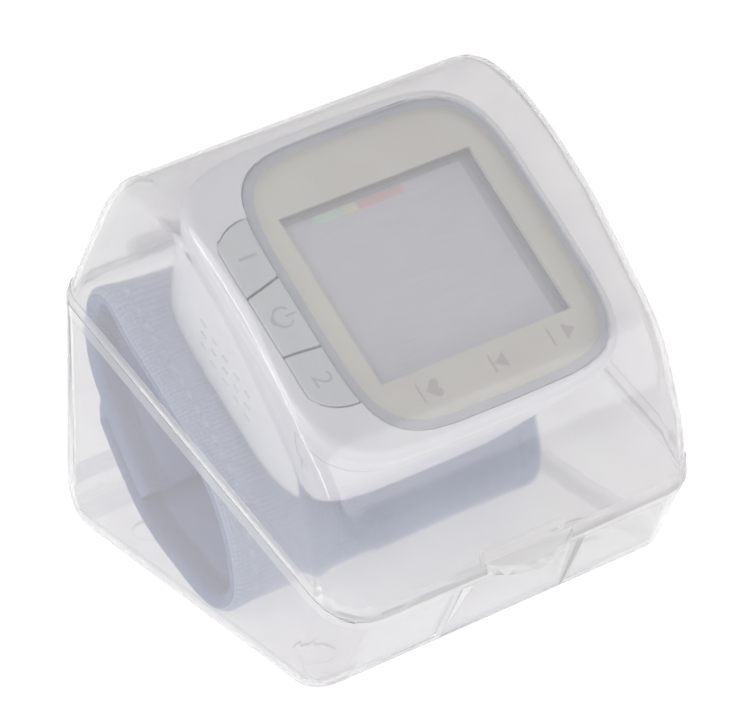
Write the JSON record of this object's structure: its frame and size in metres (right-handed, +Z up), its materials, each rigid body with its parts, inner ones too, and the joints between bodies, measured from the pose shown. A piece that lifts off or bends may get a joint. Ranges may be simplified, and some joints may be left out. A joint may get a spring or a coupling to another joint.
{
  "type": "wrist blood pressure monitor",
  "caption": "Rounded square wrist blood pressure monitor with a wide display, a column of keys and a wrap cuff, lying tilted in a translucent hinged storage case.",
  "frame": {"origin": "on the flat underside of the case, at the middle of its width, where it stands on a table", "axes": "+X to the right seen from the front, +Y to the back where the lid is hinged, +Z up"},
  "size_m": [0.087, 0.0969, 0.0846],
  "materials": {
    "case_plastic": "frosted, see-through",
    "housing_plastic": "glossy white",
    "key_plastic": "satin grey",
    "lens_plastic": "polished clear",
    "mask_print": "printed warm grey",
    "lcd_glass": "display glass on a grey reflector",
    "inner_plastic": "moulded dark grey",
    "contact_rubber": "matt",
    "board": "green solder resist",
    "cell_can": "plain film jacket on a metal can",
    "contact_metal": "nickel plated",
    "steel": "zinc plated",
    "silicone": "milky",
    "cuff_cloth": "brushed blue grey cloth",
    "cuff_leaf": "sheet plastic",
    "hook_cloth": "hook tape"
  },
  "bodies": {
    "case": {"case_base": "case_plastic", "case_hinge_pin": "case_plastic", "upper_housing": "housing_plastic", "lower_housing": "housing_plastic", "display_lens": "lens_plastic", "display_mask": "mask_print", "lcd_panel": "lcd_glass", "lcd_frame": "inner_plastic", "lcd_connector": "contact_rubber", "main_board": "board", "switch_memory_1": "inner_plastic", "switch_power": "inner_plastic", "switch_memory_2": "inner_plastic", "speaker": "inner_plastic", "battery_1": "cell_can", "battery_2": "cell_can", "contact_bridge": "contact_metal", "contact_positive": "contact_metal", "contact_negative": "contact_metal", "cell_spring_1": "contact_metal", "cell_spring_2": "contact_metal", "pump_motor": "steel", "pump_head": "inner_plastic", "exhaust_valve": "steel", "pressure_sensor": "silicone", "air_manifold": "silicone", "tube_pump": "silicone", "tube_valve": "silicone", "tube_sensor": "silicone", "housing_screw_1": "steel", "housing_screw_2": "steel", "housing_screw_3": "steel", "housing_screw_4": "steel", "cuff_screw_1": "steel", "cuff_screw_2": "steel", "cuff_cover": "cuff_cloth", "cuff_stiffener": "cuff_leaf", "air_bladder": "silicone", "hook_tape": "hook_cloth"},
    "lid": {"case_lid": "case_plastic"},
    "key_memory_1": {"button_memory_1": "key_plastic", "plunger_memory_1": "inner_plastic"},
    "key_power": {"button_power": "key_plastic", "plunger_power": "inner_plastic"},
    "key_memory_2": {"button_memory_2": "key_plastic", "plunger_memory_2": "inner_plastic"},
    "battery_door": {"battery_cover": "housing_plastic"}
  },
  "joints": [
    {"name": "lid_hinge", "type": "hinge", "parent": "case", "child": "lid", "pos_m": [0, 0.04625, 0.05259], "axis": [-1, 0, 0], "range_deg": [0, 110]},
    {"name": "memory_1_press", "type": "slide", "parent": "case", "child": "key_memory_1", "axis": [0, 0.5592, -0.829], "range_m": [0, 0.0008], "stiffness_N_per_m": 400},
    {"name": "power_press", "type": "slide", "parent": "case", "child": "key_power", "axis": [0, 0.5592, -0.829], "range_m": [0, 0.0008], "stiffness_N_per_m": 400},
    {"name": "memory_2_press", "type": "slide", "parent": "case", "child": "key_memory_2", "axis": [0, 0.5592, -0.829], "range_m": [0, 0.0008], "stiffness_N_per_m": 400},
    {"name": "battery_cover_slide", "type": "slide", "parent": "case", "child": "battery_door", "axis": [0, -0.829, -0.5592], "range_m": [0, 0.006]}
  ]
}
